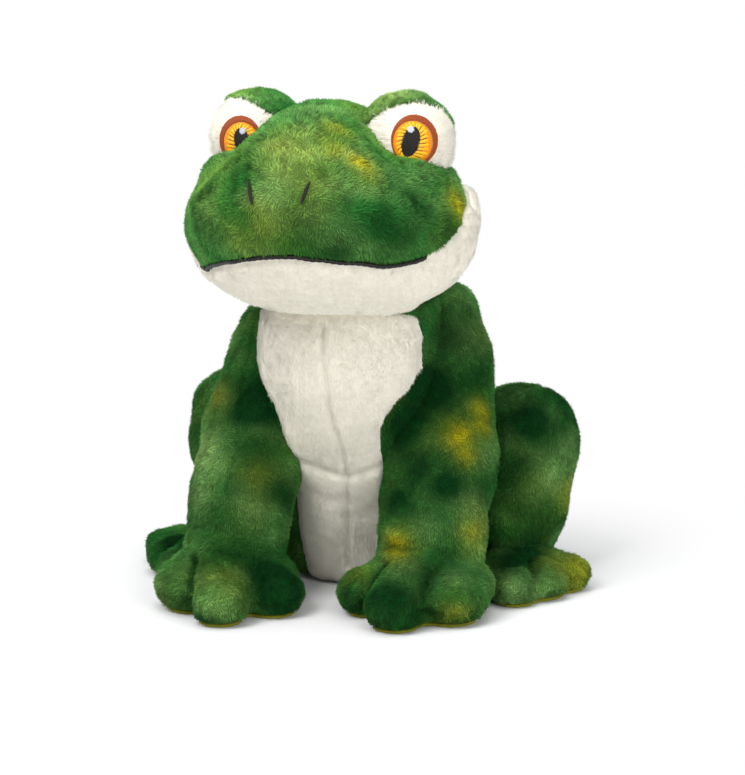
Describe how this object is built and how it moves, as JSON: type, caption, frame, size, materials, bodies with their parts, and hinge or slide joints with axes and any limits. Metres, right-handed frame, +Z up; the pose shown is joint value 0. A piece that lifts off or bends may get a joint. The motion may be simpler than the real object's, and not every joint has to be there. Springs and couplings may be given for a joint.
{
  "type": "plush frog",
  "caption": "Sitting plush frog with a wide cream jaw, padded domed eyes, three-toed hands and feet, and a head and limbs that turn at their seams.",
  "frame": {"origin": "middle of the toy's outline on the surface it sits on", "axes": "the frog faces -Y, +X is its own left, +Z is up"},
  "size_m": [0.1636, 0.1428, 0.1783],
  "materials": {
    "green_plush": "short green pile, mottled",
    "olive_plush": "short olive pile",
    "cream_plush": "short cream pile",
    "wadding": "loose polyester fibre",
    "pellet_bag": "plain woven bag",
    "rust_thread": "satin embroidery thread",
    "orange_thread": "satin embroidery thread",
    "black_thread": "satin embroidery thread",
    "white_thread": "satin embroidery thread"
  },
  "bodies": {
    "torso": {"torso_skin": "green_plush", "chest_panel": "cream_plush", "torso_fill": "wadding", "pellet_pouch": "pellet_bag", "closing_thread": "green_plush"},
    "head": {"head_skin": "green_plush", "jaw_panel": "cream_plush", "head_fill": "wadding", "mouth_piping": "black_thread", "nostril_stitch_left": "black_thread", "nostril_stitch_right": "black_thread", "eye_dome_left": "cream_plush", "eye_dome_right": "cream_plush", "eyelid_left": "green_plush", "eyelid_right": "green_plush", "eye_rim_left": "rust_thread", "eye_rim_right": "rust_thread", "iris_left": "orange_thread", "iris_right": "orange_thread", "pupil_left": "black_thread", "pupil_right": "black_thread", "eye_glint_left": "white_thread", "eye_glint_right": "white_thread"},
    "arm_left": {"arm_skin_left": "green_plush", "arm_fill_left": "wadding", "hand_skin_left": "green_plush", "hand_fill_left": "wadding", "hand_sole_left": "olive_plush"},
    "arm_right": {"arm_skin_right": "green_plush", "arm_fill_right": "wadding", "hand_skin_right": "green_plush", "hand_fill_right": "wadding", "hand_sole_right": "olive_plush"},
    "leg_left": {"leg_skin_left": "green_plush", "leg_fill_left": "wadding", "foot_skin_left": "green_plush", "foot_fill_left": "wadding", "foot_sole_left": "olive_plush"},
    "leg_right": {"leg_skin_right": "green_plush", "leg_fill_right": "wadding", "foot_skin_right": "green_plush", "foot_fill_right": "wadding", "foot_sole_right": "olive_plush"}
  },
  "joints": [
    {"name": "neck_turn", "type": "hinge", "parent": "torso", "child": "head", "pos_m": [0, 0.00998, 0.104], "axis": [0, 0, 1], "range_deg": [-15, 15], "stiffness_Nm_per_rad": 0.05},
    {"name": "shoulder_left", "type": "hinge", "parent": "torso", "child": "arm_left", "pos_m": [0.03121, 0.02398, 0.088], "axis": [-1, 0, 0], "range_deg": [0, 40], "stiffness_Nm_per_rad": 0.03},
    {"name": "shoulder_right", "type": "hinge", "parent": "torso", "child": "arm_right", "pos_m": [-0.03121, 0.02398, 0.088], "axis": [-1, 0, 0], "range_deg": [0, 40], "stiffness_Nm_per_rad": 0.03},
    {"name": "hip_left", "type": "hinge", "parent": "torso", "child": "leg_left", "pos_m": [0.03792, 0.04898, 0.016], "axis": [-1, 0, 0], "range_deg": [0, 20], "stiffness_Nm_per_rad": 0.03},
    {"name": "hip_right", "type": "hinge", "parent": "torso", "child": "leg_right", "pos_m": [-0.03792, 0.04898, 0.016], "axis": [-1, 0, 0], "range_deg": [0, 20], "stiffness_Nm_per_rad": 0.03}
  ]
}
